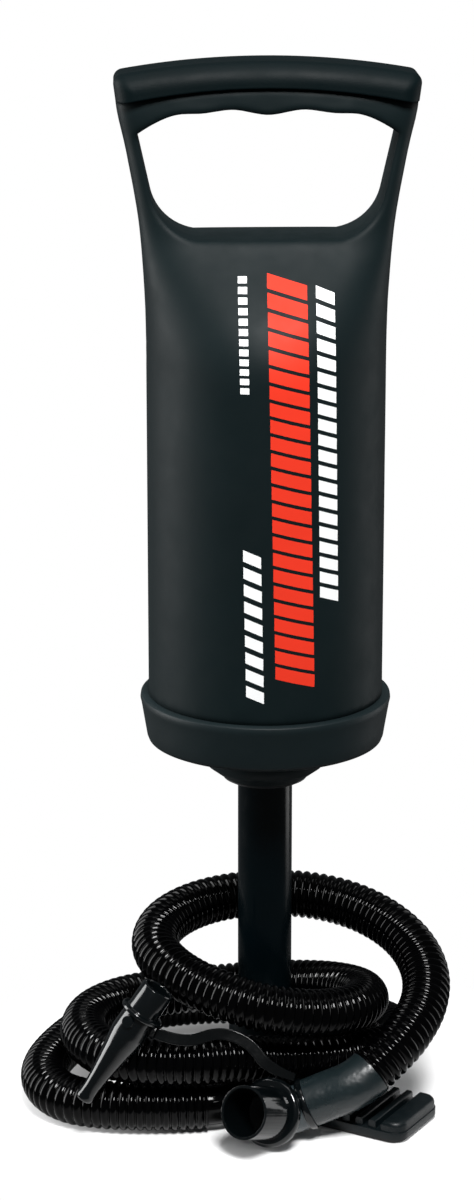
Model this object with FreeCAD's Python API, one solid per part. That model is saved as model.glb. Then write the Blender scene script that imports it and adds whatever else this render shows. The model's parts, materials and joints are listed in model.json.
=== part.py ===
import FreeCAD, Part
import math
import os

# Double-action hand air pump: a barrel with a D-handle slides and swivels on a fixed hollow stem,
# which stands on a two-footed base. The piston stays on the stem's top inside the barrel. A
# corrugated air hose runs from the base, loosely three times round the stem, to its end nozzle.
# Frame: origin on the floor under the stem's axis, +Z up the stem, +X to the handle's right. Unit mm.

Vec = FreeCAD.Vector
UP = Vec(0, 0, 1)

# ---- driving dimensions ----
BARREL_R = 43.5            # outside of the barrel
BORE_R = 40.5              # inside of the barrel
SPIGOT_R = 42.3            # barrel's stepped lower end, inside the cap
BARREL_BOTTOM = 151.0
CAP_RIM_Z = 164.0          # top of the end cap
SHOULDER_Z = 288.0         # where the round barrel starts to flatten
BORE_TOP = 289.0
HOUSING_TOP = 383.0        # top of the housing's handle, under the grip cover
SHELL = 3.0                # wall of the moulded shells

STEM_R = 10.2
STEM_WALL = 1.6
STEM_FOOT_Z = 28.5
DELIVERY_R = 6.0           # delivery tube inside the stem
DELIVERY_WALL = 1.1

PISTON_Z = 176.0           # underside of the piston
PISTON_R = 39.4
PISTON_BODY_H = 11.5
PISTON_H = 14.0
PLATE_T = 2.5
VALVE_OFFSET = 22.0        # valve centres from the stem's axis

CAP_R = 46.6
CAP_LOW_R = 44.2
CAP_LOW_Z = 147.2
CAP_FLOOR_Z = 145.8
CAP_FLOOR_TOP = 149.0
BOSS_R = 21.9              # gland boss under the cap
BOSS_LOW_R = 16.5
BOSS_TAPER = 4.6           # height over which the boss narrows to its lower rim
BOSS_Z = 130.7
GLAND_R = 14.5             # hole in the cap's boss
RUN_GAP = 0.08             # radial gap of a part that slides or turns
FIT_GAP = 0.02             # radial gap of a part that is pressed or pushed home

PAD_T = 1.5                # rubber under the base
FOOT_TOP = 4.3
RIB_TOP = 7.4
RIB_COUNT = 5
LAST_RIB = 55.0
FOOT_RIB_PITCH = 5.5
FOOT_RIB_W = 3.0
FOOT_ANGLE = -30.0         # the feet's line, turned about the stem
FOOT_REACH = 68.0
FOOT_HALF = 16.5
HUB_PLATE_R = 24.0
HUB_TOP = 38.0
HUB_SKIRT_R = 20.0
HUB_NECK_R = 13.4
HUB_NECK_Z = 17.0          # where the hub's cone meets its straight neck
BASE_SCREW_HOLE_R = 1.17
BASE_SCREW_HOLE_TOP = 9.0
PORT_R = 7.8
PORT_SOCKET_R = 6.0
PORT_SOCKET_DEPTH = 8.5
PORT_REACH = 20.0
HOSE_PORT_ANGLE = -116.0
HOSE_PORT_Z = 9.4
FREE_PORT_ANGLE = 64.0
FREE_PORT_Z = 23.0

GRIP_DEPTH = 27.0          # handle arms and grip, front to back
BARREL_TURN = 2.0          # how far the free-turning barrel is turned about the stem
OPENING_LOW = 334.8        # lower edge of the hand opening

HOSE_D = 18.5
HOSE_BORE_D = 15.5
BEND_SHARE = 0.45          # part of each run that a bend may take at either end

# Hose route, base elbow to end cuff. It lies on the floor in front and behind, climbs over the
# feet and its own turns, and rises round the stem in three turns that all differ.
HOSE_ROUTE = [
    (-22, -31.3, 9.4), (-33, -32.5, 9.3), (-47, -33, 9.3), (-62, -31.5, 9.3), (-75, -26.5, 9.3),
    (-83.5, -14.5, 9.3), (-85.5, 2, 9.3), (-80, 22, 9.3), (-70, 42, 9.3), (-53, 59, 9.3),
    (-28, 68, 9.3), (-1, 67, 9.4), (24, 57.5, 11), (43, 40, 14), (53.5, 19.5, 17), (51, 0, 19.5),
    (38.5, -12.5, 21.6), (21.5, -20.4, 23.3), (4, -24.9, 24.7), (-12, -31.8, 28.4), (-30, -37, 28.9),
    (-49, -34.5, 28.4), (-63.5, -23.5, 27.9), (-70, -5, 27.6), (-68, 14, 27), (-57, 29.5, 26.3),
    (-39, 37.5, 26.3), (-17, 39, 27.5), (5, 38, 29.8), (24, 30, 33), (37, 15, 36.5),
    (39.5, -3, 40), (33, -20, 43), (18, -32, 46), (0, -35.5, 49.8), (-18, -29, 53.3),
    (-34, -17.5, 56.8), (-43, 0, 59.8), (-40, 19, 62.8), (-26, 34.5, 65.2), (-5, 42.5, 66.3),
    (18, 43, 65.6), (39, 36, 62.4), (55, 22, 56.5), (62.5, 5, 49), (61, -12, 41.5),
    (53.5, -26, 35.5), (46.5, -32.7, 30.2), (39.5, -36.5, 25),
]
NOZZLE_CENTRE = Vec(1.7, -47.2, 13.4)   # middle of the hose-end nozzle's flange
NOZZLE_AXIS = Vec(-0.545, -0.762, 0.354).normalize()
FLANGE_R = 13.0
FLANGE_T = 4.0
TIP_R = 10.0
TIP_LENGTH = 16.0
TIP_BORE_R = 9.0
SLEEVE_R = 9.0
CUFF_R = 9.2
SLEEVE_RUN = 10.0          # from the flange's middle back to the sleeve's bend
CUFF_LEAD = 6.5            # from the hose's end to the cuff's bend
CUFF_SHARE = 0.65          # where the cuff ends and the sleeve begins between the two bends
TETHER_RING_R = 10.0
TETHER_RING_W = 2.6

TETHER_ROUTE = [
    (11, -40.4, 24.6), (1, -42, 28.4), (-5.4, -37.5, 37.2), (-17.3, -35.5, 41.2),
    (-30, -44.5, 39.6), (-41, -43.2, 43.8),
]
TETHER_D = 2.6
SMALL_NOZZLE_TOP = Vec(-39.4, -42.5, 61.3)
SMALL_NOZZLE_TIP = Vec(-67.7, -45.5, 18.2)
SMALL_COLLAR_R = 6.3
SMALL_COLLAR_H = 10.7
SMALL_FLANGE_R = 8.4
SMALL_BODY_R = 6.6
SMALL_OUTLINE = [          # the small nozzle's radius at shares of its length, to its lipped tip
    (6.9, 0.40), (6.4, 0.47), (5.4, 0.57), (4.5, 0.68), (3.7, 0.79), (3.2, 0.89), (3.2, 0.94),
    (3.5, 0.965), (3.5, 0.985), (2.9, 1.0),
]
SMALL_BORE_R = 1.9
BUTTON_PLACE = 15.2        # tether's button, from the small nozzle's top
BUTTON_SIDE = Vec(-0.35, -0.85, 0.4)
BUTTON_R = 2.2
BUTTON_REACH = 8.0


# ---- shape helpers ----
def save(name, shape):
    shape.exportStep(os.path.join("parts", name + ".step"))
    print(f"{name}: {shape.Volume / 1000:.2f} cm3, {len(shape.Solids)} solid(s)")


def rod(radius, low, high, x=0.0, y=0.0):
    return Part.makeCylinder(radius, high - low, Vec(x, y, low), UP)


def ring(outer, inner, low, high):
    return rod(outer, low, high).cut(rod(inner, low - 1, high + 1))


def block(low, high):
    size = high - low
    return Part.makeBox(size.x, size.y, size.z, low)


def turned(profile):
    """A solid of revolution about Z from (radius, height) corners."""
    corners = [Vec(r, 0, z) for r, z in profile]
    face = Part.Face(Part.makePolygon(corners + corners[:1]))
    return face.revolve(Vec(0, 0, 0), UP, 360)


def joined(shapes):
    body = shapes[0]
    for shape in shapes[1:]:
        body = body.fuse(shape)
    return body.removeSplitter()


def along_axis(shape, place, axis):
    """A shape built up from the origin along +Z, moved to stand at place along axis."""
    turn = FreeCAD.Rotation(UP, axis)
    moved = shape.copy()
    moved.Placement = FreeCAD.Placement(place, turn)
    return moved


def about_z(shape, degrees):
    return shape.rotated(Vec(0, 0, 0), UP, degrees)


def toward(degrees, reach, height):
    angle = math.radians(degrees)
    return Vec(reach * math.cos(angle), reach * math.sin(angle), height)


def rod_between(radius, start, end):
    return Part.makeCylinder(radius, (end - start).Length, start, end - start)


def softened(shape, radius, chosen):
    """The shape with the chosen edges rounded."""
    edges = [edge for edge in shape.Edges if chosen(edge)]
    return shape.makeFillet(radius, edges)


def bent_path(points, share):
    """Straight runs joined by tangent arcs, and the arcs' radii."""
    edges = []
    radii = []
    here = points[0]
    for before, corner, after in zip(points, points[1:], points[2:]):
        run_in = (corner - before).Length
        run_out = (after - corner).Length
        into = (corner - before).normalize()
        away = (after - corner).normalize()
        half_turn = into.getAngle(away) / 2
        setback = share * min(run_in, run_out)
        radius = setback / math.tan(half_turn)
        radii.append(radius)
        start = corner - into * setback
        end = corner + away * setback
        inward = (away - into).normalize()
        middle = corner + inward * (radius / math.cos(half_turn) - radius)
        edges.append(Part.LineSegment(here, start).toShape())
        edges.append(Part.Arc(start, middle, end).toShape())
        here = end
    edges.append(Part.LineSegment(here, points[-1]).toShape())
    return Part.Wire(edges), radii


def tube_along(points, radius, share=BEND_SHARE):
    path, radii = bent_path(points, share)
    section = Part.Wire(Part.makeCircle(radius, points[0], points[1] - points[0]))
    swept = path.makePipeShell([section], True, False)
    return swept, path.Length, radii


# ---- barrel housing and handle ----
def superellipse(half_width, half_depth, power, height):
    """A closed smooth section, round at power 2 and squarer above it."""
    corners = []
    count = 32
    for step in range(count):
        angle = 2 * math.pi * step / count
        across = math.cos(angle)
        along = math.sin(angle)
        x = half_width * math.copysign(abs(across) ** (2 / power), across)
        y = half_depth * math.copysign(abs(along) ** (2 / power), along)
        corners.append(Vec(x, y, height))
    curve = Part.BSplineCurve()
    curve.interpolate(corners, PeriodicFlag=True)
    return Part.Wire(curve.toShape())


BARREL_LOW = CAP_RIM_Z - 0.4
EVEN_STEPS = 16            # sections of the round part, spaced as closely as the shoulder's

# height, half width, half depth, power of the section, from where the barrel stops being round
SHOULDER = [
    (295, 43.5, 42.6, 2.05),
    (303, 43.6, 39.6, 2.15),
    (311, 43.8, 34.8, 2.3),
    (319, 44.2, 28.6, 2.6),
    (327, 44.7, 21.8, 3.1),
    (334, 45.2, 16.6, 3.8),
    (341, 45.9, 14.2, 4.5),
    (350, 47.2, GRIP_DEPTH / 2, 5.0),
    (360, 49.0, GRIP_DEPTH / 2, 5.0),
    (371, 51.2, GRIP_DEPTH / 2, 5.0),
    (HOUSING_TOP, 53.6, GRIP_DEPTH / 2, 5.0),
]


def outside_sections():
    """The round barrel's sections, evenly spaced, and the shoulder's."""
    step = (SHOULDER_Z - BARREL_LOW) / EVEN_STEPS
    even = [(BARREL_LOW + count * step, BARREL_R, BARREL_R, 2.0) for count in range(EVEN_STEPS + 1)]
    return even + SHOULDER


def lofted(sections):
    return Part.makeLoft([superellipse(w, d, p, z) for z, w, d, p in sections], True, False)


def hand_opening():
    """The hole through the handle: a trough below, straight sides, a scalloped grip above."""
    low_left = Vec(-26.0, 0, OPENING_LOW)
    low_right = Vec(26.0, 0, OPENING_LOW)
    corner_left = Vec(-36.2, 0, OPENING_LOW + 5.6)
    corner_right = Vec(36.2, 0, OPENING_LOW + 5.6)
    side_left = Vec(-41.5, 0, OPENING_LOW + 15.2)
    side_right = Vec(41.5, 0, OPENING_LOW + 15.2)
    top_left = Vec(-46.4, 0, 372.2)
    top_right = Vec(46.4, 0, 372.2)
    scallops = [Vec(39.5, 0, 376.6), Vec(31.5, 0, 379.5), Vec(23.7, 0, 379.8), Vec(12, 0, 381.1),
                Vec(0, 0, 379.3), Vec(-12, 0, 381.1), Vec(-23.7, 0, 379.8), Vec(-31.5, 0, 379.5),
                Vec(-39.5, 0, 376.6)]
    grip = Part.BSplineCurve()
    grip.interpolate([top_right] + scallops + [top_left])
    edges = [
        Part.LineSegment(low_left, low_right).toShape(),
        Part.Arc(low_right, corner_right, side_right).toShape(),
        Part.LineSegment(side_right, top_right).toShape(),
        grip.toShape(),
        Part.LineSegment(top_left, side_left).toShape(),
        Part.Arc(side_left, corner_left, low_left).toShape(),
    ]
    face = Part.Face(Part.Wire(edges))
    face.translate(Vec(0, -BARREL_R - 5, 0))
    return face.extrude(Vec(0, 2 * BARREL_R + 10, 0))


CORE_TOP = 391.5
CORE_HALF_LENGTH = 47.0
CORE_HALF_DEPTH = 9.5


def arch_roller(radius):
    """The long cylinder, lying front to back, that the seam under the cover follows."""
    depth = 2 * GRIP_DEPTH
    return Part.makeCylinder(radius, depth, Vec(0, -depth / 2, ARCH_TOP - ARCH_R), Vec(0, 1, 0))


def seam_arch():
    """The housing's arched top under the cover, with the same outline as the arms."""
    _, width, depth, power = SHOULDER[-1]
    prism = lofted([(HOUSING_TOP - 0.5, width, depth, power), (ARCH_TOP + 1, width, depth, power)])
    return prism.common(arch_roller(ARCH_R - SEAM_GAP))


def barrel_housing():
    shell = lofted(outside_sections()).cut(hand_opening())
    shell = shell.cut(rod(BORE_R, BARREL_BOTTOM - 1, BORE_TOP))
    hollow = [(BORE_TOP - 1, BORE_R - 0.5, BORE_R - 1.5, 2.0)]
    for height, width, depth, power in SHOULDER[:5]:
        hollow.append((height - SHELL, width - SHELL - 0.6, depth - SHELL - 0.6, power))
    shell = shell.cut(lofted(hollow))
    core = block(Vec(-CORE_HALF_LENGTH, -CORE_HALF_DEPTH, HOUSING_TOP - 1),
                 Vec(CORE_HALF_LENGTH, CORE_HALF_DEPTH, CORE_TOP))
    shell = shell.fuse(seam_arch()).fuse(core).fuse(ring(SPIGOT_R, BORE_R, BARREL_BOTTOM, CAP_RIM_Z))
    for x in GRIP_SCREW_PLACES:
        shell = shell.cut(rod(GRIP_SCREW_R + 0.4, OPENING_LOW + 30, CORE_TOP + 1, x))
        shell = shell.cut(rod(GRIP_HEAD_R + 0.3, OPENING_LOW + 30, GRIP_HEAD_TOP, x))
    return about_z(shell, BARREL_TURN)


# ---- grip cover ----
COVER_HALF_LENGTH = 54.8
COVER_HALF_DEPTH = 15.0
COVER_LOW = 383.4
COVER_END_TOP = 392.6
COVER_CROWN = 397.6
ARCH_R = 250.0             # arch of the seam between the housing and the cover
ARCH_TOP = 388.4
SEAM_GAP = 0.2
COVER_EDGE_R = 7.0
COVER_END_R = 3.5
GRIP_SCREW_R = 1.35
GRIP_HEAD_R = 3.0
GRIP_HEAD_TOP = 383.2
GRIP_SCREW_TOP = 394.2
GRIP_SCREW_PLACES = (-30.0, 30.0)


def grip_cover():
    corners = [
        Part.LineSegment(Vec(-COVER_HALF_LENGTH + 1.2, 0, COVER_LOW),
                         Vec(COVER_HALF_LENGTH - 1.2, 0, COVER_LOW)).toShape(),
        Part.LineSegment(Vec(COVER_HALF_LENGTH - 1.2, 0, COVER_LOW),
                         Vec(COVER_HALF_LENGTH, 0, COVER_END_TOP)).toShape(),
        Part.Arc(Vec(COVER_HALF_LENGTH, 0, COVER_END_TOP), Vec(0, 0, COVER_CROWN),
                 Vec(-COVER_HALF_LENGTH, 0, COVER_END_TOP)).toShape(),
        Part.LineSegment(Vec(-COVER_HALF_LENGTH, 0, COVER_END_TOP),
                         Vec(-COVER_HALF_LENGTH + 1.2, 0, COVER_LOW)).toShape(),
    ]
    face = Part.Face(Part.Wire(corners))
    face.translate(Vec(0, -COVER_HALF_DEPTH, 0))
    cover = face.extrude(Vec(0, 2 * COVER_HALF_DEPTH, 0))
    cover = softened(cover, COVER_END_R, lambda edge: edge.BoundBox.YLength > COVER_HALF_DEPTH
                     and edge.BoundBox.ZMin > COVER_LOW + 1)
    cover = softened(cover, COVER_EDGE_R, lambda edge: edge.BoundBox.XLength > COVER_HALF_LENGTH
                     and edge.BoundBox.ZMin > COVER_LOW + 1)
    gap = 0.15
    cavity = block(Vec(-CORE_HALF_LENGTH - gap, -CORE_HALF_DEPTH - gap, COVER_LOW - 1),
                   Vec(CORE_HALF_LENGTH + gap, CORE_HALF_DEPTH + gap, CORE_TOP + gap))
    cover = cover.cut(cavity).cut(arch_roller(ARCH_R + SEAM_GAP))
    for x in GRIP_SCREW_PLACES:
        cover = cover.cut(rod(GRIP_SCREW_R + FIT_GAP, CORE_TOP - 1, GRIP_SCREW_TOP + 0.2, x))
    return about_z(cover, BARREL_TURN)


def grip_screws():
    screws = []
    for x in GRIP_SCREW_PLACES:
        head = rod(GRIP_HEAD_R, GRIP_HEAD_TOP - 1.7, GRIP_HEAD_TOP - FIT_GAP, x)
        shank = rod(GRIP_SCREW_R, GRIP_HEAD_TOP - 0.5, GRIP_SCREW_TOP, x)
        socket = rod(1.2, GRIP_HEAD_TOP - 3, GRIP_HEAD_TOP - 0.8, x)
        screws.append(head.fuse(shank).cut(socket))
    return about_z(Part.makeCompound(screws), BARREL_TURN)


# ---- end cap, seals and gland ----
def end_cap():
    profile = [
        (GLAND_R, BOSS_Z), (BOSS_LOW_R - 0.6, BOSS_Z), (BOSS_LOW_R, BOSS_Z + 0.5),
        (BOSS_R, BOSS_Z + BOSS_TAPER), (BOSS_R + 0.8, CAP_FLOOR_Z - 1.6), (BOSS_R + 3, CAP_FLOOR_Z),
        (CAP_LOW_R - 1.6, CAP_FLOOR_Z), (CAP_LOW_R - 0.5, CAP_FLOOR_Z + 0.5),
        (CAP_LOW_R, CAP_LOW_Z + 0.4),
        (CAP_R - 0.3, CAP_RIM_Z - 3.6), (CAP_R, CAP_RIM_Z - 2.4), (CAP_R - 0.2, CAP_RIM_Z - 0.9),
        (CAP_R - 1.0, CAP_RIM_Z - 0.45), (SPIGOT_R + FIT_GAP, CAP_RIM_Z - 0.45),
        (SPIGOT_R + FIT_GAP, CAP_FLOOR_TOP), (GLAND_R, CAP_FLOOR_TOP),
    ]
    return turned(profile)


def barrel_seal():
    return ring(SPIGOT_R - 0.1, BORE_R + 0.1, CAP_FLOOR_TOP + FIT_GAP, BARREL_BOTTOM - FIT_GAP)


FLANGE_TOP = 151.5
BUSH_LOW = 129.2
RETAINER_LOW = 130.1
RETAINER_HIGH = BOSS_Z - 0.06
RETAINER_NECK_R = 13.0
ROD_SEAL_LOW = 139.0
ROD_SEAL_HIGH = 143.0
ROD_SEAL_R = 12.6


def gland_bush():
    profile = [
        (STEM_R + RUN_GAP, BUSH_LOW), (GLAND_R - 0.5, BUSH_LOW),
        (GLAND_R - 0.5, RETAINER_LOW - FIT_GAP), (RETAINER_NECK_R, RETAINER_LOW - FIT_GAP),
        (RETAINER_NECK_R, RETAINER_HIGH + FIT_GAP), (GLAND_R - RUN_GAP, RETAINER_HIGH + FIT_GAP),
        (GLAND_R - RUN_GAP, CAP_FLOOR_TOP + 0.05), (17.5, CAP_FLOOR_TOP + 0.05),
        (17.5, FLANGE_TOP - 0.6), (16.9, FLANGE_TOP), (STEM_R + RUN_GAP, FLANGE_TOP),
        (STEM_R + RUN_GAP, ROD_SEAL_HIGH), (ROD_SEAL_R, ROD_SEAL_HIGH),
        (ROD_SEAL_R, ROD_SEAL_LOW), (STEM_R + RUN_GAP, ROD_SEAL_LOW),
    ]
    return turned(profile)


def rod_seal():
    inside = STEM_R + 0.04
    low = ROD_SEAL_LOW + FIT_GAP
    high = ROD_SEAL_HIGH - FIT_GAP
    profile = [
        (inside + 0.5, low), (ROD_SEAL_R - FIT_GAP, low), (ROD_SEAL_R - FIT_GAP, high),
        (inside + 0.5, high), (inside, high - 0.8), (inside + 0.4, (low + high) / 2),
        (inside, low + 0.8),
    ]
    return turned(profile)


def gland_retainer():
    whole = ring(GLAND_R + 1.2, RETAINER_NECK_R + FIT_GAP, RETAINER_LOW, RETAINER_HIGH)
    mouth = block(Vec(-2.0, 0, RETAINER_LOW - 1), Vec(2.0, GLAND_R + 5, RETAINER_HIGH + 1))
    return whole.cut(mouth)


def upper_stop_pad():
    return ring(BORE_R - 0.1, 34.5, BORE_TOP - 2.6, BORE_TOP - FIT_GAP)


def lower_stop_ring():
    return ring(BORE_R - 0.3, 34.0, CAP_FLOOR_TOP + FIT_GAP, CAP_FLOOR_TOP + 5.0)


# ---- stem ----
def stem_tube():
    return ring(STEM_R, STEM_R - STEM_WALL, STEM_FOOT_Z, PISTON_Z + 4.5)


def delivery_tube():
    return ring(DELIVERY_R, DELIVERY_R - DELIVERY_WALL, PORT_PLATE_LOW + FIT_GAP, PISTON_Z + 8.4)


# ---- piston and its check valves ----
VALVE_SLOT_R = 6.2
VALVE_HUB_R = 2.6
VALVE_DISC_R = 7.6
VALVE_DISC_T = 1.0
VALVE_TRAVEL = 1.0
VALVE_PIN_R = 1.4
VALVE_HEAD_R = 2.4
VALVE_HEAD_T = 0.8
VALVE_REST_GAP = 0.03


def valve_ports(x, low):
    """The ring of air slots under one valve disc, left standing on three spokes."""
    slots = rod(VALVE_SLOT_R, low - 1, low + PLATE_T + 1, x)
    slots = slots.cut(rod(VALVE_HUB_R, low - 2, low + PLATE_T + 2, x))
    for turn in range(3):
        spoke = block(Vec(0, -0.8, low - 2), Vec(VALVE_SLOT_R + 1, 0.8, low + PLATE_T + 2))
        spoke = about_z(spoke, 120 * turn)
        spoke.translate(Vec(x, 0, 0))
        slots = slots.cut(spoke)
    return slots


def valve_pin(x, face, side):
    """The headed pin a valve disc slides on, above (side 1) or below (side -1) its seat."""
    reach = VALVE_DISC_T + VALVE_TRAVEL + 2 * VALVE_REST_GAP
    pin_ends = sorted((face - side * 0.5, face + side * reach))
    head_ends = sorted((face + side * reach, face + side * (reach + VALVE_HEAD_T)))
    pin = rod(VALVE_PIN_R, pin_ends[0], pin_ends[1], x)
    head = rod(VALVE_HEAD_R, head_ends[0], head_ends[1], x)
    return pin.fuse(head)


def valve_disc(x, face, side):
    """A rubber disc at its lowest place: on its seat above, or on the pin's head below."""
    drop = VALVE_REST_GAP if side > 0 else -(VALVE_DISC_T + VALVE_TRAVEL + VALVE_REST_GAP)
    low = face + drop
    disc = rod(VALVE_DISC_R, low, low + VALVE_DISC_T, x)
    return disc.cut(rod(VALVE_PIN_R + RUN_GAP, low - 1, low + VALVE_DISC_T + 1, x))


PISTON_SCREWS = [toward(angle, 29.0, 0) for angle in (45, 135, 225, 315)]


def piston_body():
    low = PISTON_Z
    top = PISTON_Z + PISTON_BODY_H
    seat = low + 4.5
    plate = low + 7.2
    floor = rod(PISTON_R, low, low + PLATE_T)
    rim = ring(PISTON_R, 35.5, low, top)
    hub = rod(13.4, low, top)
    wall = block(Vec(-1, -36, low), Vec(1, 36, top))
    bosses = [rod(3.2, low, top, spot.x, spot.y) for spot in PISTON_SCREWS]
    body = joined([floor, rim, hub, wall] + bosses)
    body = body.cut(rod(STEM_R + FIT_GAP, low - 1, seat))
    body = body.cut(rod(STEM_R - 1.0, seat - 0.5, plate))
    body = body.cut(rod(DELIVERY_R + FIT_GAP, plate - 1, plate + 1.2))
    body = body.cut(rod(STEM_R - 1.0, plate + 1.2, top + 1))
    body = body.cut(block(Vec(4, -4, seat + 0.2), Vec(14, 4, plate)))
    body = body.cut(block(Vec(-14, -4, plate + 1.4), Vec(-4, 4, top + 1)))
    body = body.cut(ring(PISTON_R + 1, SEAL_GROOVE_R, low + 5, low + 9))
    body = body.cut(valve_ports(VALVE_OFFSET, low))
    body = body.cut(valve_ports(-VALVE_OFFSET, low))
    for spot in PISTON_SCREWS:
        body = body.cut(rod(1.22, low + 4, top + 1, spot.x, spot.y))
    pins = [valve_pin(VALVE_OFFSET, low, -1), valve_pin(-VALVE_OFFSET, low + PLATE_T, 1)]
    return joined([body] + pins)


SEAL_GROOVE_R = 37.3


def piston_cover():
    low = PISTON_Z + PISTON_BODY_H
    top = PISTON_Z + PISTON_H
    cover = rod(PISTON_R, low, top)
    cover = cover.cut(valve_ports(VALVE_OFFSET, low))
    cover = cover.cut(valve_ports(-VALVE_OFFSET, low))
    for spot in PISTON_SCREWS:
        cover = cover.cut(rod(1.4, low - 1, top + 1, spot.x, spot.y))
        cover = cover.cut(rod(2.6, top - 1.4, top + 1, spot.x, spot.y))
    pins = [valve_pin(VALVE_OFFSET, top, 1), valve_pin(-VALVE_OFFSET, low, -1)]
    return joined([cover] + pins)


def piston_screws():
    top = PISTON_Z + PISTON_H
    screws = []
    for spot in PISTON_SCREWS:
        shank = rod(1.2, PISTON_Z + 4.5, top - 1.3, spot.x, spot.y)
        head = rod(2.5, top - 1.38, top - 0.1, spot.x, spot.y)
        screws.append(shank.fuse(head))
    return Part.makeCompound(screws)


def piston_seal():
    low = PISTON_Z + 5 + FIT_GAP
    high = PISTON_Z + 9 - FIT_GAP
    outside = BORE_R - RUN_GAP
    profile = [
        (SEAL_GROOVE_R + FIT_GAP, low), (outside - 0.9, low), (outside, low + 1.2),
        (outside, high - 1.2), (outside - 0.9, high), (SEAL_GROOVE_R + FIT_GAP, high),
    ]
    return turned(profile)


# ---- base ----
PORT_PLATE_LOW = 16.0
PORT_PLATE_TOP = 17.6
DELIVERY_ROOM_R = 11.0
COVER_PLATE_R = 17.0
COVER_PLATE_TOP = 3.0
BASE_SCREW_ANGLES = (FOOT_ANGLE, FOOT_ANGLE + 90, FOOT_ANGLE + 180)
BASE_SCREW_REACH = 14.0


def foot():
    """One foot along +X, with rounded end corners and grip ribs across it."""
    plate = block(Vec(8, -FOOT_HALF, PAD_T), Vec(FOOT_REACH, FOOT_HALF, FOOT_TOP))
    plate = softened(plate, 6.0, lambda edge: edge.BoundBox.XMin > FOOT_REACH - 0.1
                     and edge.BoundBox.ZLength > 1)
    ribs = []
    for count in range(RIB_COUNT):
        place = LAST_RIB - count * FOOT_RIB_PITCH
        rib = block(Vec(place - FOOT_RIB_W / 2, -FOOT_HALF + 1.2, FOOT_TOP - 1),
                    Vec(place + FOOT_RIB_W / 2, FOOT_HALF - 1.2, RIB_TOP))
        ribs.append(softened(rib, 0.9, lambda edge: edge.BoundBox.ZMin > RIB_TOP - 0.1
                             and edge.BoundBox.YLength > 5))
    pad = block(Vec(LAST_RIB + FOOT_RIB_PITCH - FOOT_RIB_W / 2, -FOOT_HALF + 0.6, FOOT_TOP - 1.6),
                Vec(FOOT_REACH - 0.4, FOOT_HALF - 0.6, RIB_TOP + 0.8))
    pad = softened(pad, 5.4, lambda edge: edge.BoundBox.XMin > FOOT_REACH - 1
                   and edge.BoundBox.ZLength > 1)
    pad = softened(pad, 1.9, lambda edge: edge.BoundBox.ZMin > RIB_TOP + 0.7)
    return joined([plate] + ribs + [pad])


def port(angle, height):
    """A hose port's solid stub and the bores inside it."""
    stub = rod_between(PORT_R, toward(angle, 4, height), toward(angle, PORT_REACH, height))
    duct = rod_between(4.8, toward(angle, 7, height), toward(angle, PORT_REACH, height))
    socket = rod_between(PORT_SOCKET_R, toward(angle, PORT_REACH - PORT_SOCKET_DEPTH, height),
                         toward(angle, PORT_REACH + 1, height))
    way_in = rod_between(PORT_R + 1.0, toward(angle, PORT_REACH, height),
                         toward(angle, HUB_PLATE_R + 8, height))
    return stub, duct.fuse(socket), way_in


def base_body():
    hub = turned([
        (0, PAD_T), (HUB_PLATE_R, PAD_T), (HUB_PLATE_R, FOOT_TOP - 1), (HUB_PLATE_R - 1, FOOT_TOP),
        (HUB_SKIRT_R, FOOT_TOP), (HUB_NECK_R + 0.6, HUB_NECK_Z), (HUB_NECK_R, HUB_TOP - 1.2),
        (HUB_NECK_R - 0.8, HUB_TOP), (0, HUB_TOP),
    ])
    feet = [about_z(foot(), FOOT_ANGLE), about_z(foot(), FOOT_ANGLE + 180)]
    hose_stub, hose_bores, hose_way = port(HOSE_PORT_ANGLE, HOSE_PORT_Z)
    free_stub, free_bores, _ = port(FREE_PORT_ANGLE, FREE_PORT_Z)
    body = joined([hub, hose_stub, free_stub] + feet)
    body = body.cut(hose_way)
    body = body.cut(rod(STEM_R + FIT_GAP, STEM_FOOT_Z, HUB_TOP + 1))
    body = body.cut(rod(STEM_R - 1.0, PORT_PLATE_TOP, STEM_FOOT_Z + 0.5))
    body = body.cut(rod(DELIVERY_R + FIT_GAP, PORT_PLATE_LOW - 0.5, PORT_PLATE_TOP + 0.5))
    body = body.cut(rod(DELIVERY_ROOM_R, PAD_T - 1, PORT_PLATE_LOW))
    body = body.cut(rod(COVER_PLATE_R + 0.1, PAD_T - 1, COVER_PLATE_TOP))
    body = body.cut(hose_bores)
    body = body.cut(free_bores)
    for angle in BASE_SCREW_ANGLES:
        spot = toward(angle, BASE_SCREW_REACH, 0)
        body = body.cut(rod(BASE_SCREW_HOLE_R, COVER_PLATE_TOP - 1, BASE_SCREW_HOLE_TOP, spot.x, spot.y))
    return body.removeSplitter()


def base_bottom_cover():
    plate = rod(COVER_PLATE_R, COVER_PLATE_TOP - 1.5, COVER_PLATE_TOP - FIT_GAP)
    for angle in BASE_SCREW_ANGLES:
        spot = toward(angle, BASE_SCREW_REACH, 0)
        plate = plate.cut(rod(1.4, 0, COVER_PLATE_TOP + 1, spot.x, spot.y))
    return plate


def base_screws():
    screws = []
    under = COVER_PLATE_TOP - 1.5 - FIT_GAP
    for angle in BASE_SCREW_ANGLES:
        spot = toward(angle, BASE_SCREW_REACH, 0)
        shank = rod(1.15, under - 0.2, 8.5, spot.x, spot.y)
        head = rod(2.4, under - 1.2, under, spot.x, spot.y)
        screws.append(shank.fuse(head))
    return Part.makeCompound(screws)


def hub_foot_ring():
    return ring(HUB_PLATE_R - 0.6, COVER_PLATE_R + 0.6, 0, PAD_T)


def foot_pads():
    pads = []
    for half_turn in (0, 180):
        pad = block(Vec(27, -FOOT_HALF + 1, 0), Vec(FOOT_REACH - 1.5, FOOT_HALF - 1, PAD_T))
        pad = softened(pad, 5.0, lambda edge: edge.BoundBox.XMin > FOOT_REACH - 2
                       and edge.BoundBox.ZLength > 1)
        pads.append(about_z(pad, FOOT_ANGLE + half_turn))
    return Part.makeCompound(pads)


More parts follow.
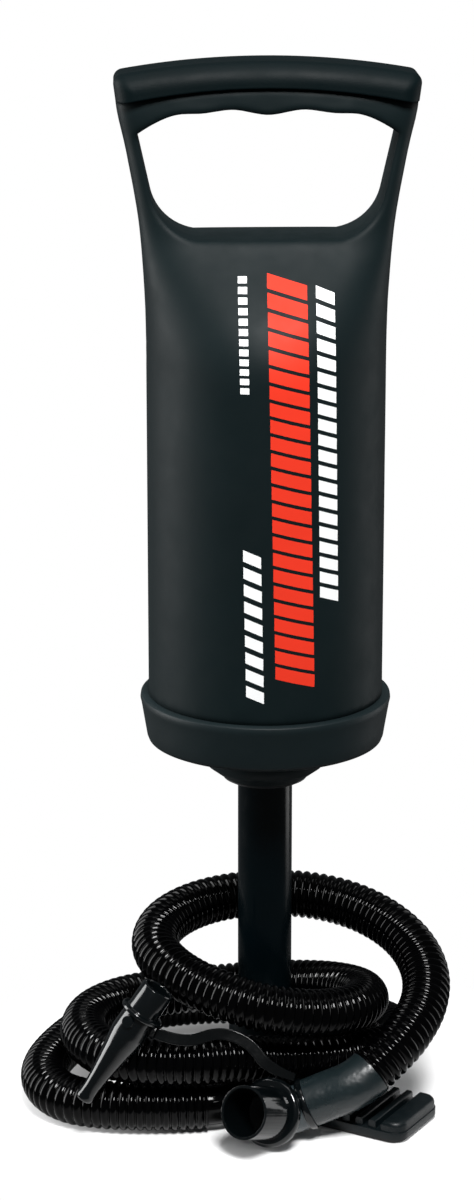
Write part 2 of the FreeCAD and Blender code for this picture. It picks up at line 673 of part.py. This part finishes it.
# ---- hose and what is on it ----
def hose_base_cuff():
    """The moulded elbow between the base's port and the hose."""
    route = [Vec(*point) for point in HOSE_ROUTE]
    mouth = toward(HOSE_PORT_ANGLE, PORT_REACH + 0.3, HOSE_PORT_Z)
    out = toward(HOSE_PORT_ANGLE, 1, 0)
    along = (route[1] - route[0]).normalize()
    level = Vec(route[0].x - mouth.x, route[0].y - mouth.y, 0)
    cross = out.x * along.y - out.y * along.x
    reach = (level.x * along.y - level.y * along.x) / cross
    corner = mouth + out * reach
    corner.z = route[0].z
    elbow, _, _ = tube_along([mouth, corner, route[0]], PORT_R, 0.9)
    spigot = rod_between(PORT_SOCKET_R - FIT_GAP, mouth - out * (PORT_SOCKET_DEPTH - 0.5), mouth)
    return elbow.fuse(spigot)


def hose():
    route = [Vec(*point) for point in HOSE_ROUTE]
    outside, length, radii = tube_along(route, HOSE_D / 2)
    inside, _, _ = tube_along(route, HOSE_BORE_D / 2)
    shape = outside.cut(inside)
    section = math.pi * (HOSE_D ** 2 - HOSE_BORE_D ** 2) / 4
    print(f"hose length {length:.1f} mm, volume over section x length "
          f"{shape.Volume / (section * length):.4f}")
    print("hose bend radii:", ", ".join(f"{radius:.0f}" for radius in radii))
    return shape


def nozzle_points():
    """Hose end, cuff bend, cuff end, sleeve bend and flange back, in order along the hose's end."""
    hose_end = Vec(*HOSE_ROUTE[-1])
    onward = (hose_end - Vec(*HOSE_ROUTE[-2])).normalize()
    cuff_bend = hose_end + onward * CUFF_LEAD
    sleeve_bend = NOZZLE_CENTRE - NOZZLE_AXIS * SLEEVE_RUN
    cuff_end = cuff_bend + (sleeve_bend - cuff_bend) * CUFF_SHARE
    flange_back = NOZZLE_CENTRE - NOZZLE_AXIS * (FLANGE_T / 2)
    return hose_end, cuff_bend, cuff_end, sleeve_bend, flange_back


def hose_end_cuff():
    hose_end, cuff_bend, cuff_end, _, _ = nozzle_points()
    cuff, _, _ = tube_along([hose_end, cuff_bend, cuff_end], CUFF_R, 0.9)
    return cuff


def nozzle_sleeve():
    _, _, cuff_end, sleeve_bend, flange_back = nozzle_points()
    sleeve, _, _ = tube_along([cuff_end, sleeve_bend, flange_back], SLEEVE_R, 0.9)
    return sleeve


def tether_ring():
    """A thin band round the sleeve, next to the cuff, that the tether is moulded to."""
    _, _, cuff_end, sleeve_bend, _ = nozzle_points()
    along = (sleeve_bend - cuff_end).normalize()
    start = cuff_end + along * 0.2
    end = start + along * TETHER_RING_W
    band = rod_between(TETHER_RING_R, start, end)
    return band.cut(rod_between(SLEEVE_R + FIT_GAP, start - along, end + along))


def hose_end_nozzle():
    flange_back = nozzle_points()[-1]
    front = flange_back + NOZZLE_AXIS * FLANGE_T
    mouth = front + NOZZLE_AXIS * TIP_LENGTH
    flange = rod_between(FLANGE_R, flange_back, front)
    flange = softened(flange, 1.6, lambda edge: edge.Length > 2 * math.pi * FLANGE_R - 1
                      and len(edge.Vertexes) == 1)
    tip = rod_between(TIP_R, front - NOZZLE_AXIS, mouth)
    bore = rod_between(TIP_BORE_R, flange_back + NOZZLE_AXIS * 2, mouth + NOZZLE_AXIS)
    return flange.fuse(tip).cut(bore)


def tether_strap():
    route = [Vec(*point) for point in TETHER_ROUTE]
    strap, length, _ = tube_along(route, TETHER_D / 2)
    print(f"tether length {length:.1f} mm")
    return strap


def small_nozzle():
    """The small nozzle's body: full to its waist, narrowing to a slim tip with a through bore."""
    axis = (SMALL_NOZZLE_TIP - SMALL_NOZZLE_TOP).normalize()
    length = (SMALL_NOZZLE_TIP - SMALL_NOZZLE_TOP).Length
    start = SMALL_COLLAR_H + 1.6
    outline = [(radius, share * length) for radius, share in SMALL_OUTLINE]
    profile = [(SMALL_BODY_R, start)] + outline + [(SMALL_BORE_R, length), (SMALL_BORE_R, start)]
    body = along_axis(turned(profile), SMALL_NOZZLE_TOP, axis)
    seat = SMALL_NOZZLE_TOP + axis * BUTTON_PLACE
    outward = (BUTTON_SIDE - axis * BUTTON_SIDE.dot(axis)).normalize()
    button = rod_between(BUTTON_R, seat + outward * (SMALL_BODY_R - 1), seat + outward * BUTTON_REACH)
    return body.fuse(button)


def small_nozzle_collar():
    axis = (SMALL_NOZZLE_TIP - SMALL_NOZZLE_TOP).normalize()
    profile = [(SMALL_COLLAR_R - 1.4, 0), (SMALL_COLLAR_R - 0.4, 0), (SMALL_COLLAR_R, 0.5),
               (SMALL_COLLAR_R, SMALL_COLLAR_H), (SMALL_FLANGE_R, SMALL_COLLAR_H),
               (SMALL_FLANGE_R, SMALL_COLLAR_H + 1.55), (SMALL_COLLAR_R - 1.4, SMALL_COLLAR_H + 1.55)]
    return along_axis(turned(profile), SMALL_NOZZLE_TOP, axis)


PIECES = {
    "barrel_housing": barrel_housing,
    "grip_cover": grip_cover,
    "grip_screws": grip_screws,
    "end_cap": end_cap,
    "barrel_seal": barrel_seal,
    "upper_stop_pad": upper_stop_pad,
    "lower_stop_ring": lower_stop_ring,
    "gland_bush": gland_bush,
    "rod_seal": rod_seal,
    "gland_retainer": gland_retainer,
    "stem_tube": stem_tube,
    "delivery_tube": delivery_tube,
    "piston_body": piston_body,
    "piston_cover": piston_cover,
    "piston_screws": piston_screws,
    "piston_seal": piston_seal,
    "upper_intake_disc": lambda: valve_disc(VALVE_OFFSET, PISTON_Z + PISTON_H, 1),
    "upper_delivery_disc": lambda: valve_disc(-VALVE_OFFSET, PISTON_Z + PISTON_BODY_H, -1),
    "lower_intake_disc": lambda: valve_disc(VALVE_OFFSET, PISTON_Z, -1),
    "lower_delivery_disc": lambda: valve_disc(-VALVE_OFFSET, PISTON_Z + PLATE_T, 1),
    "base_body": base_body,
    "base_bottom_cover": base_bottom_cover,
    "base_screws": base_screws,
    "hub_foot_ring": hub_foot_ring,
    "foot_pads": foot_pads,
    "hose_base_cuff": hose_base_cuff,
    "hose": hose,
    "hose_end_cuff": hose_end_cuff,
    "nozzle_sleeve": nozzle_sleeve,
    "hose_end_nozzle": hose_end_nozzle,
    "tether_ring": tether_ring,
    "tether_strap": tether_strap,
    "small_nozzle": small_nozzle,
    "small_nozzle_collar": small_nozzle_collar,
}

os.makedirs("parts", exist_ok=True)
for name, make in PIECES.items():
    save(name, make())
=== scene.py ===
"""Double-action hand air pump on a white studio floor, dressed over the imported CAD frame."""

import json
import math

import bpy
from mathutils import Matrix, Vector
from mathutils.bvhtree import BVHTree


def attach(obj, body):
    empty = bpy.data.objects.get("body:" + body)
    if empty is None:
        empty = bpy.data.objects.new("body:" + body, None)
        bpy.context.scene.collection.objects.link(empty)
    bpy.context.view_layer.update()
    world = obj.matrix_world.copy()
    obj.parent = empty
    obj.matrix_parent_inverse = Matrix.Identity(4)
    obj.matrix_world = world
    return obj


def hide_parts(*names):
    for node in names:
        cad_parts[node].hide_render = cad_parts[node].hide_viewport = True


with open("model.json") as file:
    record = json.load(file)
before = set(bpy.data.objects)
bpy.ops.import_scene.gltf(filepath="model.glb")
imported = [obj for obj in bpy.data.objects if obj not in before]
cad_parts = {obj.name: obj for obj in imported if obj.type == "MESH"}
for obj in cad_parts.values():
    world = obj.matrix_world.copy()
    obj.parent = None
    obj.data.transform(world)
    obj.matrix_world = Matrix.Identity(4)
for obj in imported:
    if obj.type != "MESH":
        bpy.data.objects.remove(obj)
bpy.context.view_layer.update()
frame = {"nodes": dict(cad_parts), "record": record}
nodes = frame["nodes"]
scene = bpy.context.scene
MM = 0.001

# ---- camera: a long lens, looking down 16 degrees ----
AIM = Vector((-0.01056, 0, 0.1983))
PITCH = math.radians(16.0)
DISTANCE = 1.2
SENSOR_MM = 36
LENS_MM = 97.2
NEAREST, FURTHEST = 0.05, 20
camera_data = bpy.data.cameras.new("camera")
camera_data.sensor_width = SENSOR_MM
camera_data.lens = LENS_MM
camera_data.clip_start = NEAREST
camera_data.clip_end = FURTHEST
camera = bpy.data.objects.new("camera", camera_data)
camera.location = AIM + Vector((0, -math.cos(PITCH), math.sin(PITCH))) * DISTANCE
camera.rotation_euler = (math.pi / 2 - PITCH, 0, 0)
scene.collection.objects.link(camera)
scene.camera = camera

# ---- hose route, millimetres, base elbow to end cuff ----
HOSE_ROUTE = [
    (-22, -31.3, 9.4), (-33, -32.5, 9.3), (-47, -33, 9.3), (-62, -31.5, 9.3), (-75, -26.5, 9.3),
    (-83.5, -14.5, 9.3), (-85.5, 2, 9.3), (-80, 22, 9.3), (-70, 42, 9.3), (-53, 59, 9.3),
    (-28, 68, 9.3), (-1, 67, 9.4), (24, 57.5, 11), (43, 40, 14), (53.5, 19.5, 17), (51, 0, 19.5),
    (38.5, -12.5, 21.6), (21.5, -20.4, 23.3), (4, -24.9, 24.7), (-12, -31.8, 28.4), (-30, -37, 28.9),
    (-49, -34.5, 28.4), (-63.5, -23.5, 27.9), (-70, -5, 27.6), (-68, 14, 27), (-57, 29.5, 26.3),
    (-39, 37.5, 26.3), (-17, 39, 27.5), (5, 38, 29.8), (24, 30, 33), (37, 15, 36.5),
    (39.5, -3, 40), (33, -20, 43), (18, -32, 46), (0, -35.5, 49.8), (-18, -29, 53.3),
    (-34, -17.5, 56.8), (-43, 0, 59.8), (-40, 19, 62.8), (-26, 34.5, 65.2), (-5, 42.5, 66.3),
    (18, 43, 65.6), (39, 36, 62.4), (55, 22, 56.5), (62.5, 5, 49), (61, -12, 41.5),
    (53.5, -26, 35.5), (46.5, -32.7, 30.2), (39.5, -36.5, 25),
]
HOSE_D = 18.5
HOSE_SEGMENTS = 36
RIB_PITCH = 3.1
RIB_DEPTH = 1.15
RIB_SHAPE = 0.7  # below 1 the crests are round and the grooves between them narrow
RINGS_PER_RIB = 10
SKIN_INSET = 0.05  # holds the crests, which sway in and out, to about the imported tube's radius
SWAY = 0.06

# ---- tether route, millimetres, ring on the sleeve to the button on the small nozzle ----
TETHER_ROUTE = [
    (11, -40.4, 24.6), (1, -42, 28.4), (-5.4, -37.5, 37.2), (-17.3, -35.5, 41.2),
    (-30, -44.5, 39.6), (-41, -43.2, 43.8),
]


# ---- geometry helpers ----
SPLINE_RESOLUTION = 16


def add(name, vertices, faces, smooth=True):
    """A new object in the scene from vertices and faces, in metres."""
    mesh = bpy.data.meshes.new(name)
    mesh.from_pydata([tuple(v) for v in vertices], [], faces)
    mesh.validate()
    mesh.update()
    if smooth:
        mesh.polygons.foreach_set("use_smooth", [True] * len(mesh.polygons))
    piece = bpy.data.objects.new(name, mesh)
    scene.collection.objects.link(piece)
    return piece


def spline_points(route):
    """Points along the NURBS spline that has the route's points as its control points, in metres."""
    curve = bpy.data.curves.new("route", "CURVE")
    curve.dimensions = "3D"
    spline = curve.splines.new("NURBS")
    spline.points.add(len(route) - 1)
    for point, place in zip(spline.points, route):
        point.co = (place[0] * MM, place[1] * MM, place[2] * MM, 1.0)
    spline.order_u = 3
    spline.use_endpoint_u = True
    spline.resolution_u = SPLINE_RESOLUTION
    carrier = bpy.data.objects.new("route", curve)
    mesh = bpy.data.meshes.new_from_object(carrier)
    points = [v.co.copy() for v in mesh.vertices]
    bpy.data.objects.remove(carrier)
    bpy.data.meshes.remove(mesh)
    return points


def resampled(points, step):
    """Points evenly spaced along a line, and its length."""
    run = [0.0]
    for a, b in zip(points, points[1:]):
        run.append(run[-1] + (b - a).length)
    total = run[-1]
    count = max(2, round(total / step))
    out = []
    k = 0
    for i in range(count + 1):
        want = total * i / count
        while k < len(run) - 2 and run[k + 1] < want:
            k += 1
        span = run[k + 1] - run[k]
        t = 0.0 if span == 0 else (want - run[k]) / span
        out.append(points[k].lerp(points[k + 1], t))
    return out, total


def frames_along(points, facing):
    """Tangent and side at every point: across a facing direction, or turning as little as it can."""
    tangents = []
    last = len(points) - 1
    for i in range(len(points)):
        tangents.append((points[min(i + 1, last)] - points[max(i - 1, 0)]).normalized())
    if facing:
        return tangents, [tangent.cross(facing).normalized() for tangent in tangents]
    up = Vector((0, 0, 1))
    side = up - tangents[0] * up.dot(tangents[0])
    side.normalize()
    sides = [side]
    for a, b in zip(tangents, tangents[1:]):
        turn = a.rotation_difference(b)
        side = turn @ side
        side = (side - b * side.dot(b)).normalized()
        sides.append(side)
    return tangents, sides


def swept(name, points, ring_at, segments, facing=None):
    """A skin along points; ring_at(i, angle) gives the offsets along side and up, in metres."""
    tangents, sides = frames_along(points, facing)
    vertices = []
    faces = []
    for i, centre in enumerate(points):
        up = tangents[i].cross(sides[i])
        for j in range(segments):
            angle = 2 * math.pi * j / segments
            a, b = ring_at(i, angle)
            vertices.append(centre + sides[i] * a + up * b)
    for i in range(len(points) - 1):
        for j in range(segments):
            k = (j + 1) % segments
            faces.append((i * segments + j, i * segments + k,
                          (i + 1) * segments + k, (i + 1) * segments + j))
    faces.append(tuple(reversed(range(segments))))
    start = (len(points) - 1) * segments
    faces.append(tuple(range(start, start + segments)))
    return add(name, vertices, faces)


# ---- the hose, the cord of this object ----
hose_line, hose_length = resampled(spline_points(HOSE_ROUTE), RIB_PITCH * MM / RINGS_PER_RIB)


def hose_ring(i, angle):
    """Rounded ribs with narrow grooves, a little uneven as the vinyl is."""
    ribs = hose_length * i / (len(hose_line) - 1) / (RIB_PITCH * MM)
    crest = abs(math.cos(math.pi * ribs)) ** RIB_SHAPE
    sway = SWAY * math.sin(ribs * 0.37 + 1.3 * math.sin(ribs * 0.11))
    r = (HOSE_D / 2 - RIB_DEPTH * (1 - crest) - SKIN_INSET + sway) * MM
    return r * math.cos(angle), r * math.sin(angle)


hose = swept("corrugated_hose", hose_line, hose_ring, HOSE_SEGMENTS)


# ---- procedural materials ----
DRIFT_SCALE, SHINE_SCALE, DUST_SCALE = 35.0, 90.0, 120.0  # of the noises, per metre
WAVE_DEPTH, GRAIN_DEPTH = 0.0006, 0.00006
DUST_COLOUR = (0.25, 0.27, 0.28)
LEAST_ROUGHNESS = 0.02
CORNER_SAMPLES = 8


def surface(name, colour, roughness, spread, drift, grain=0.0, grain_scale=2500.0,
            waves=0.0, wave_scale=60.0, metallic=0.0, dust=0.0, specular=0.5, soft=0.0):
    """A finish with slow colour drift, uneven roughness, moulded grain, soft waves and faint dust.

    soft is the radius, in metres, over which moulded corners shade as if rounded.
    """
    material = bpy.data.materials.new(name)
    material.use_nodes = True
    tree = material.node_tree
    link = tree.links.new
    shader = tree.nodes["Principled BSDF"]
    shader.inputs["Metallic"].default_value = metallic
    shader.inputs["Specular IOR Level"].default_value = specular
    place = tree.nodes.new("ShaderNodeTexCoord").outputs["Object"]

    def noise(scale, detail, rough=0.5):
        node = tree.nodes.new("ShaderNodeTexNoise")
        node.inputs["Scale"].default_value = scale
        node.inputs["Detail"].default_value = detail
        node.inputs["Roughness"].default_value = rough
        link(place, node.inputs["Vector"])
        return node.outputs["Fac"]

    def spanned(value, low, high, start=0.3, end=0.7):
        node = tree.nodes.new("ShaderNodeMapRange")
        node.inputs["From Min"].default_value = start
        node.inputs["From Max"].default_value = end
        node.inputs["To Min"].default_value = low
        node.inputs["To Max"].default_value = high
        link(value, node.inputs["Value"])
        return node.outputs["Result"]

    def mixed(factor, a, b):
        node = tree.nodes.new("ShaderNodeMix")
        node.data_type = "RGBA"
        link(factor, node.inputs["Factor"])
        for socket, value in ((node.inputs["A"], a), (node.inputs["B"], b)):
            if isinstance(value, tuple):
                socket.default_value = (*value, 1)
            else:
                link(value, socket)
        return node.outputs["Result"]

    dark = tuple(c * (1 - drift) for c in colour)
    light = tuple(min(1.0, c * (1 + drift)) for c in colour)
    base = mixed(spanned(noise(DRIFT_SCALE, 4.0), 0, 1), dark, light)
    if dust:
        facing = tree.nodes.new("ShaderNodeSeparateXYZ")
        geometry = tree.nodes.new("ShaderNodeNewGeometry")
        link(geometry.outputs["Normal"], facing.inputs["Vector"])
        upward = spanned(facing.outputs["Z"], 0.0, dust, 0.2, 1.0)
        patchy = tree.nodes.new("ShaderNodeMath")
        patchy.operation = "MULTIPLY"
        link(upward, patchy.inputs[0])
        link(spanned(noise(DUST_SCALE, 6.0, 0.7), 0.1, 1, 0.4, 0.7), patchy.inputs[1])
        base = mixed(patchy.outputs["Value"], base, DUST_COLOUR)
    link(base, shader.inputs["Base Color"])
    uneven = spanned(noise(SHINE_SCALE, 5.0, 0.6), max(LEAST_ROUGHNESS, roughness - spread),
                     roughness + spread)
    link(uneven, shader.inputs["Roughness"])
    normal = None
    if soft:
        corners = tree.nodes.new("ShaderNodeBevel")
        corners.samples = CORNER_SAMPLES
        corners.inputs["Radius"].default_value = soft
        normal = corners.outputs["Normal"]
    for strength, scale, depth in ((waves, wave_scale, WAVE_DEPTH),
                                   (grain, grain_scale, GRAIN_DEPTH)):
        if strength:
            bump = tree.nodes.new("ShaderNodeBump")
            bump.inputs["Strength"].default_value = strength
            bump.inputs["Distance"].default_value = depth
            link(noise(scale, 2.0), bump.inputs["Height"])
            if normal:
                link(normal, bump.inputs["Normal"])
            normal = bump.outputs["Normal"]
    if normal:
        link(normal, shader.inputs["Normal"])
    return material


housing_finish = surface("housing_plastic", (0.0038, 0.0082, 0.0092), 0.54, 0.05, 0.08, grain=0.35,
                         waves=0.05, wave_scale=30, dust=0.01, specular=0.11, soft=0.0035)
cap_finish = surface("cap_plastic", (0.0055, 0.0105, 0.0118), 0.5, 0.05, 0.08, grain=0.3, dust=0.01,
                     specular=0.18)
grip_finish = surface("grip_plastic", (0.0008, 0.0040, 0.0048), 0.55, 0.06, 0.15, grain=0.9,
                      grain_scale=1600, specular=0.09, soft=0.001)
stem_finish = surface("stem_plastic", (0.0006, 0.0022, 0.0030), 0.2, 0.06, 0.2, grain=0.12,
                      grain_scale=900, specular=0.18)
base_finish = surface("base_plastic", (0.0022, 0.0046, 0.0056), 0.36, 0.08, 0.15, grain=0.4,
                      dust=0.02, specular=0.24)
hose_finish = surface("hose_vinyl", (0.0003, 0.0003, 0.0004), 0.09, 0.04, 0.3, waves=0.12,
                      wave_scale=160, specular=0.11)
fitting_finish = surface("fitting_plastic", (0.0012, 0.0020, 0.0024), 0.12, 0.05, 0.2, waves=0.15,
                         wave_scale=140, specular=0.45)
cuff_finish = surface("cuff_vinyl", (0.006, 0.011, 0.0125), 0.3, 0.1, 0.4, waves=0.75,
                      wave_scale=170, specular=0.5)
strap_finish = surface("strap_vinyl", (0.0008, 0.0012, 0.0014), 0.2, 0.06, 0.2, waves=0.3,
                       wave_scale=200, specular=0.4)
sleeve_finish = surface("sleeve_vinyl", (0.022, 0.032, 0.036), 0.26, 0.06, 0.15, waves=0.3,
                        wave_scale=120)
rubber_finish = surface("seal_rubber", (0.006, 0.006, 0.006), 0.6, 0.08, 0.2, grain=0.3)
valve_finish = surface("valve_rubber", (0.17, 0.02, 0.01), 0.5, 0.08, 0.15, grain=0.2)
inner_finish = surface("inner_plastic", (0.01, 0.011, 0.012), 0.45, 0.06, 0.15, grain=0.2)
steel_finish = surface("screw_steel", (0.45, 0.46, 0.48), 0.3, 0.1, 0.1, grain=0.2,
                       grain_scale=1200, metallic=1.0)
red_ink = surface("red_ink", (0.72, 0.034, 0.014), 0.6, 0.06, 0.05, grain=0.3, specular=0.15)
white_ink = surface("white_ink", (0.86, 0.87, 0.87), 0.6, 0.06, 0.03, grain=0.3, specular=0.15)


def dress(piece, finish):
    """Give a piece its one finish."""
    piece.data.materials.clear()
    piece.data.materials.append(finish)
    return piece


FINISHES = {
    "housing": housing_finish, "cap": cap_finish, "grip": grip_finish, "stem": stem_finish,
    "inner_plastic": inner_finish, "base": base_finish, "seal_rubber": rubber_finish,
    "valve_rubber": valve_finish, "screws": steel_finish, "hose": hose_finish,
    "fittings": fitting_finish, "small_fittings": fitting_finish,
}
for part in frame["record"]["subparts"]:
    dress(nodes[part["node"]], FINISHES[part["material_slot"]])
dress(nodes["hose_end_cuff"], cuff_finish)
dress(nodes["hose_base_cuff"], hose_finish)
dress(nodes["nozzle_sleeve"], sleeve_finish)


dress(hose, hose_finish)
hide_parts("hose")
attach(hose, "base")


# ---- tether strap, a ribbon lying against the hose with its flat side to the front ----
STRAP_FACE = Vector((0, -0.9, 0.42))
STRAP_HALF_WIDTH = 2.2
STRAP_NARROWING = 0.8  # at the end by the sleeve
STRAP_TAPER_RINGS = 12  # of the skin, until the strap has its full width
STRAP_HALF_THICKNESS = 0.55
STRAP_HEM = 0.4
STRAP_STEP = 0.8
STRAP_SEGMENTS = 28
strap_line, _ = resampled(spline_points(TETHER_ROUTE), STRAP_STEP * MM)


def strap_ring(i, angle):
    """A flat ribbon, thicker along both edges."""
    across = math.copysign(abs(math.cos(angle)) ** 0.7, math.cos(angle))
    through = math.copysign(abs(math.sin(angle)) ** 0.6, math.sin(angle))
    thickness = STRAP_HALF_THICKNESS + STRAP_HEM * abs(across) ** 4
    width = STRAP_HALF_WIDTH - STRAP_NARROWING * max(0.0, 1 - i / STRAP_TAPER_RINGS)
    return width * across * MM, thickness * through * MM


strap = swept("tether_band", strap_line, strap_ring, STRAP_SEGMENTS, facing=STRAP_FACE)
dress(strap, strap_finish)
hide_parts("tether_strap")
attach(strap, "base")

# ---- printed marks: plain bars, moulded to the barrel's front ----
INK_LIFT = 0.00007
INK_CELL = 1.0  # millimetres, the size of the grid that follows the barrel's curve
OUTSIDE = -100  # millimetres, in front of the barrel
housing_mesh = nodes["barrel_housing"].data
housing_tree = BVHTree.FromPolygons([v.co for v in housing_mesh.vertices],
                                    [tuple(p.vertices) for p in housing_mesh.polygons])


def on_barrel(x, z):
    """The point just off the barrel's front at (x, z), given in millimetres."""
    hit, normal, _, _ = housing_tree.ray_cast(Vector((x, OUTSIDE, z)) * MM, Vector((0, 1, 0)))
    return hit - Vector((0, INK_LIFT, 0)) if normal.y > 0 else hit + normal * INK_LIFT


def bar(corners):
    """A patch of ink between four (x, z) corners: low left, low right, high right, high left."""
    a, b, c, d = [Vector(corner) for corner in corners]
    columns = max(2, math.ceil((b - a).length / INK_CELL))
    rows = max(2, math.ceil((d - a).length / INK_CELL))
    grid = []
    for i in range(rows + 1):
        left = a.lerp(d, i / rows)
        right = b.lerp(c, i / rows)
        for j in range(columns + 1):
            point = left.lerp(right, j / columns)
            grid.append(on_barrel(point.x, point.y))
    faces = []
    for i in range(rows):
        for j in range(columns):
            k = i * (columns + 1) + j
            faces.append((k, k + 1, k + columns + 2, k + columns + 1))
    return grid, faces


def column(name, bars, finish):
    """One piece of ink made of many bars, riding on the barrel."""
    vertices = []
    faces = []
    for corners in bars:
        grid, cells = bar(corners)
        start = len(vertices)
        vertices += grid
        faces += [tuple(start + n for n in cell) for cell in cells]
    piece = dress(add(name, vertices, faces), finish)
    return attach(piece, "barrel")


def slanted(x, width, low, high, rise):
    """A bar's corners; its top and bottom edges rise by so much from left to right."""
    return [(x, low), (x + width, low + rise), (x + width, high + rise), (x, high)]


# name, finish, how many, first bar's left and top, step to the next, width, height, rise
MARKS = [
    ("red_marks", red_ink, 24, (0.0, 325.0), (0.14, -6.05), 14.1, 4.7, -4.0),
    ("white_marks", white_ink, 20, (17.2, 321.0), (0.1, -5.6), 6.6, 4.0, -2.6),
    ("small_marks", white_ink, 12, (-10.3, 324.0), (0.08, -3.3), 3.2, 2.2, 0.0),
    ("low_marks", white_ink, 9, (-8.4, 229.0), (0.14, -6.3), 6.4, 4.2, -2.6),
]
for name, finish, count, (first_x, first_top), (step_x, step_z), width, height, rise in MARKS:
    bars = []
    for k in range(count):
        top = first_top + k * step_z
        bars.append(slanted(first_x + k * step_x, width, top - height, top, rise))
    column(name, bars, finish)

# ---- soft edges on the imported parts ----
WELD_DISTANCE = 0.000002
BEVEL_SEGMENTS = 3


def rounded(piece, width, angle):
    """Soft edges wherever two faces meet at more than the angle, in degrees."""
    weld = piece.modifiers.new("weld", "WELD")
    weld.merge_threshold = WELD_DISTANCE
    bevel = piece.modifiers.new("bevel", "BEVEL")
    bevel.width = width * MM
    bevel.segments = BEVEL_SEGMENTS
    bevel.limit_method = "ANGLE"
    bevel.angle_limit = math.radians(angle)
    bevel.harden_normals = True
    piece.data.polygons.foreach_set("use_smooth", [True] * len(piece.data.polygons))


for node, width, angle in (("barrel_housing", 2.4, 50), ("end_cap", 0.2, 50), ("base_body", 0.5, 40),
                           ("hose_end_nozzle", 0.35, 50), ("tether_ring", 0.5, 50),
                           ("small_nozzle_collar", 0.5, 50), ("small_nozzle", 0.3, 50)):
    rounded(nodes[node], width, angle)

# ---- studio: a plain floor that fades out into the white backdrop away from the object ----
FLOOR_REACH = 1
FLOOR_Z = -0.0002
FLOOR_COLOUR = (0.93, 0.93, 0.93, 1)
FADE_STARTS, FADE_ENDS = 0.04, 0.14
AMBIENT_COLOUR = (0.93, 0.97, 1, 1)
AMBIENT_STRENGTH = 0.11

floor = add("floor", [(x * FLOOR_REACH, y * FLOOR_REACH, FLOOR_Z)
                      for x, y in ((-1, -1), (1, -1), (1, 1), (-1, 1))],
            [(0, 1, 2, 3)], smooth=False)
floor_finish = bpy.data.materials.new("floor_paint")
floor_finish.use_nodes = True
paint = floor_finish.node_tree
floor_shader = paint.nodes["Principled BSDF"]
floor_shader.inputs["Base Color"].default_value = FLOOR_COLOUR
floor_shader.inputs["Roughness"].default_value = 0.9
floor_shader.inputs["Specular IOR Level"].default_value = 0.0
floor_place = paint.nodes.new("ShaderNodeTexCoord")
reach = paint.nodes.new("ShaderNodeVectorMath")
reach.operation = "LENGTH"
paint.links.new(floor_place.outputs["Object"], reach.inputs[0])
fade = paint.nodes.new("ShaderNodeMapRange")
fade.interpolation_type = "SMOOTHSTEP"
fade.inputs["From Min"].default_value = FADE_STARTS
fade.inputs["From Max"].default_value = FADE_ENDS
paint.links.new(reach.outputs["Value"], fade.inputs["Value"])
clear = paint.nodes.new("ShaderNodeBsdfTransparent")
faded = paint.nodes.new("ShaderNodeMixShader")
paint.links.new(fade.outputs["Result"], faded.inputs["Fac"])
paint.links.new(floor_shader.outputs["BSDF"], faded.inputs[1])
paint.links.new(clear.outputs["BSDF"], faded.inputs[2])
paint.links.new(faded.outputs["Shader"], paint.nodes["Material Output"].inputs["Surface"])
floor.data.materials.append(floor_finish)


def softbox(name, place, target, width, height, power, shine=True):
    """A rectangular light; without shine it lights the object but isn't mirrored in it."""
    data = bpy.data.lights.new(name, "AREA")
    data.shape = "RECTANGLE"
    data.size = width
    data.size_y = height
    data.energy = power
    light = bpy.data.objects.new(name, data)
    light.location = place
    light.rotation_euler = (Vector(target) - Vector(place)).to_track_quat("-Z", "Y").to_euler()
    light.visible_glossy = shine
    scene.collection.objects.link(light)


softbox("left_box", (-1.1, 0.15, 0.45), (0, 0, 0.15), 0.6, 1.1, 18)
softbox("right_box", (1.0, 0.4, 0.1), (0, 0, 0.03), 0.5, 0.8, 2.6)
softbox("back_box", (-0.4, 1.1, 0.7), (0, 0, 0.15), 0.8, 0.8, 14, shine=False)
softbox("front_box", (0.15, -0.9, 1.3), (0, 0, 0.15), 0.4, 0.4, 34)
softbox("top_box", (0.0, 0.1, 1.7), (0, 0, 0), 1.0, 1.0, 6)

# white where the camera sees it, a soft grey for everything it lights
world = bpy.data.worlds.new("studio")
scene.world = world
world.use_nodes = True
sky = world.node_tree
backdrop = sky.nodes["Background"]
backdrop.inputs["Color"].default_value = (1, 1, 1, 1)
backdrop.inputs["Strength"].default_value = 1.0
ambient = sky.nodes.new("ShaderNodeBackground")
ambient.inputs["Color"].default_value = AMBIENT_COLOUR
ambient.inputs["Strength"].default_value = AMBIENT_STRENGTH
chosen = sky.nodes.new("ShaderNodeMixShader")
ray = sky.nodes.new("ShaderNodeLightPath")
sky.links.new(ray.outputs["Is Camera Ray"], chosen.inputs["Fac"])
sky.links.new(ambient.outputs["Background"], chosen.inputs[1])
sky.links.new(backdrop.outputs["Background"], chosen.inputs[2])
sky.links.new(chosen.outputs["Shader"], sky.nodes["World Output"].inputs["Surface"])
scene.view_settings.view_transform = "Standard"
